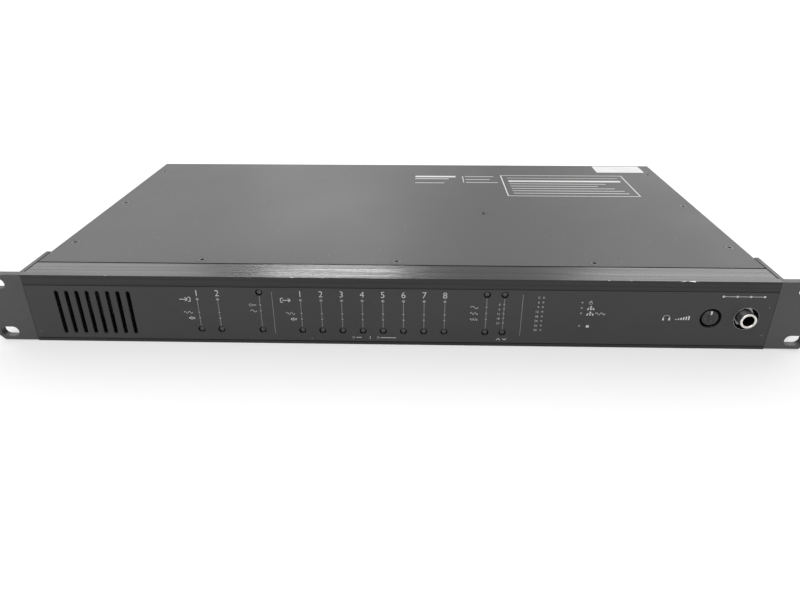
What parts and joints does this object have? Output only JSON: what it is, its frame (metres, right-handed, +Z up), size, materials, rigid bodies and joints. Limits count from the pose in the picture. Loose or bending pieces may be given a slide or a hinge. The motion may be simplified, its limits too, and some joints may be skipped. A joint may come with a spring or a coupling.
{
  "type": "rack-mounted audio interface",
  "caption": "Slim rack-mounted audio interface with vent slots, channel buttons, lamps, a level meter, a volume knob and a headphone socket in its front panel.",
  "frame": {"origin": "centre of the overall box at the level of the flat underside", "axes": "+X to the right along the panel seen from the front, +Y from the front panel to the rear panel, +Z up"},
  "size_m": [0.4826, 0.246, 0.0437],
  "materials": {
    "coated_steel": "satin textured powder coat",
    "zinc_steel": "zinc-plated",
    "black_anodised": "brushed, black anodised",
    "overlay_film": "matte printed film",
    "coated_ear": "satin coat",
    "black_screw": "black oxide",
    "zinc_screw": "zinc-plated",
    "brass_pillar": "turned",
    "knob_plastic": "matte",
    "dark_plastic": "matte",
    "nickel": "nickel-plated",
    "lens_plastic": "translucent",
    "circuit_board": "solder mask",
    "lamp_chip": "gloss",
    "chip_plastic": "matte",
    "iron_core": "varnished",
    "capacitor_can": "sleeved",
    "green_plastic": "matte",
    "grey_cable": "matte",
    "lead_jacket": "matte",
    "nickel_shell": "nickel-plated",
    "button_plastic": "satin"
  },
  "bodies": {
    "unit": {"bezel_screws": "zinc_screw", "board_screws": "zinc_screw", "board_standoffs": "brass_pillar", "channel_lenses": "lens_plastic", "chassis_pan": "coated_steel", "cover_screws": "black_screw", "ear_screws": "black_screw", "ethernet_jacks": "nickel_shell", "fan_frame": "dark_plastic", "fan_screws": "zinc_screw", "front_bezel": "black_anodised", "front_board": "circuit_board", "front_board_leds": "lamp_chip", "front_board_spacers": "brass_pillar", "front_overlay": "overlay_film", "front_subpanel": "coated_steel", "header_pins": "nickel", "headphone_jack_body": "dark_plastic", "headphone_jack_bushing": "nickel", "headphone_jack_nut": "nickel", "inlet_blades": "nickel", "main_board": "circuit_board", "main_board_chips": "chip_plastic", "mains_inlet": "dark_plastic", "mains_leads": "lead_jacket", "power_supply_board": "circuit_board", "power_switch_frame": "dark_plastic", "rack_ear_left": "coated_ear", "rack_ear_right": "coated_ear", "rear_panel": "coated_steel", "rear_panel_screws": "black_screw", "ribbon_cable": "grey_cable", "small_lenses": "lens_plastic", "supply_capacitors": "capacitor_can", "supply_terminal_block": "green_plastic", "supply_transformer": "iron_core", "tact_switches": "dark_plastic", "terminal_headers": "green_plastic", "top_cover": "coated_steel", "volume_pot_body": "dark_plastic"},
    "input_1_button": {"input_1_button": "button_plastic"},
    "input_2_button": {"input_2_button": "button_plastic"},
    "level_button_low": {"level_button_low": "button_plastic"},
    "level_button_high": {"level_button_high": "button_plastic"},
    "mode_button_low": {"mode_button_low": "button_plastic"},
    "mode_button_high": {"mode_button_high": "button_plastic"},
    "source_button_low": {"source_button_low": "button_plastic"},
    "source_button_high": {"source_button_high": "button_plastic"},
    "output_1_button": {"output_1_button": "button_plastic"},
    "output_2_button": {"output_2_button": "button_plastic"},
    "output_3_button": {"output_3_button": "button_plastic"},
    "output_4_button": {"output_4_button": "button_plastic"},
    "output_5_button": {"output_5_button": "button_plastic"},
    "output_6_button": {"output_6_button": "button_plastic"},
    "output_7_button": {"output_7_button": "button_plastic"},
    "output_8_button": {"output_8_button": "button_plastic"},
    "volume_sleeve": {"volume_pot_sleeve": "zinc_screw"},
    "headphone_knob": {"headphone_knob": "knob_plastic"},
    "fan_rotor": {"fan_rotor": "dark_plastic"},
    "power_rocker": {"power_rocker": "dark_plastic"}
  },
  "joints": [
    {"name": "input_1_button_press", "type": "slide", "parent": "unit", "child": "input_1_button", "axis": [0, 1, 0], "range_m": [0, 0.0006], "stiffness_N_per_m": 500},
    {"name": "input_2_button_press", "type": "slide", "parent": "unit", "child": "input_2_button", "axis": [0, 1, 0], "range_m": [0, 0.0006], "stiffness_N_per_m": 500},
    {"name": "level_button_low_press", "type": "slide", "parent": "unit", "child": "level_button_low", "axis": [0, 1, 0], "range_m": [0, 0.0006], "stiffness_N_per_m": 500},
    {"name": "level_button_high_press", "type": "slide", "parent": "unit", "child": "level_button_high", "axis": [0, 1, 0], "range_m": [0, 0.0006], "stiffness_N_per_m": 500},
    {"name": "mode_button_low_press", "type": "slide", "parent": "unit", "child": "mode_button_low", "axis": [0, 1, 0], "range_m": [0, 0.0006], "stiffness_N_per_m": 500},
    {"name": "mode_button_high_press", "type": "slide", "parent": "unit", "child": "mode_button_high", "axis": [0, 1, 0], "range_m": [0, 0.0006], "stiffness_N_per_m": 500},
    {"name": "source_button_low_press", "type": "slide", "parent": "unit", "child": "source_button_low", "axis": [0, 1, 0], "range_m": [0, 0.0006], "stiffness_N_per_m": 500},
    {"name": "source_button_high_press", "type": "slide", "parent": "unit", "child": "source_button_high", "axis": [0, 1, 0], "range_m": [0, 0.0006], "stiffness_N_per_m": 500},
    {"name": "output_1_button_press", "type": "slide", "parent": "unit", "child": "output_1_button", "axis": [0, 1, 0], "range_m": [0, 0.0006], "stiffness_N_per_m": 500},
    {"name": "output_2_button_press", "type": "slide", "parent": "unit", "child": "output_2_button", "axis": [0, 1, 0], "range_m": [0, 0.0006], "stiffness_N_per_m": 500},
    {"name": "output_3_button_press", "type": "slide", "parent": "unit", "child": "output_3_button", "axis": [0, 1, 0], "range_m": [0, 0.0006], "stiffness_N_per_m": 500},
    {"name": "output_4_button_press", "type": "slide", "parent": "unit", "child": "output_4_button", "axis": [0, 1, 0], "range_m": [0, 0.0006], "stiffness_N_per_m": 500},
    {"name": "output_5_button_press", "type": "slide", "parent": "unit", "child": "output_5_button", "axis": [0, 1, 0], "range_m": [0, 0.0006], "stiffness_N_per_m": 500},
    {"name": "output_6_button_press", "type": "slide", "parent": "unit", "child": "output_6_button", "axis": [0, 1, 0], "range_m": [0, 0.0006], "stiffness_N_per_m": 500},
    {"name": "output_7_button_press", "type": "slide", "parent": "unit", "child": "output_7_button", "axis": [0, 1, 0], "range_m": [0, 0.0006], "stiffness_N_per_m": 500},
    {"name": "output_8_button_press", "type": "slide", "parent": "unit", "child": "output_8_button", "axis": [0, 1, 0], "range_m": [0, 0.0006], "stiffness_N_per_m": 500},
    {"name": "volume_turn", "type": "hinge", "parent": "unit", "child": "volume_sleeve", "pos_m": [0.1816, -0.10715, 0.02015], "axis": [0, 1, 0], "range_deg": [-150, 150]},
    {"name": "knob_pop_out", "type": "slide", "parent": "volume_sleeve", "child": "headphone_knob", "axis": [0, -1, 0], "range_m": [0, 0.007]},
    {"name": "fan_spin", "type": "hinge", "parent": "unit", "child": "fan_rotor", "pos_m": [-0.177, -0.10355, 0.0215], "axis": [0, 1, 0], "continuous": true},
    {"name": "power_rock", "type": "hinge", "parent": "unit", "child": "power_rocker", "pos_m": [-0.141, 0.11715, 0.019], "axis": [-1, 0, 0], "range_deg": [0, 20]}
  ]
}
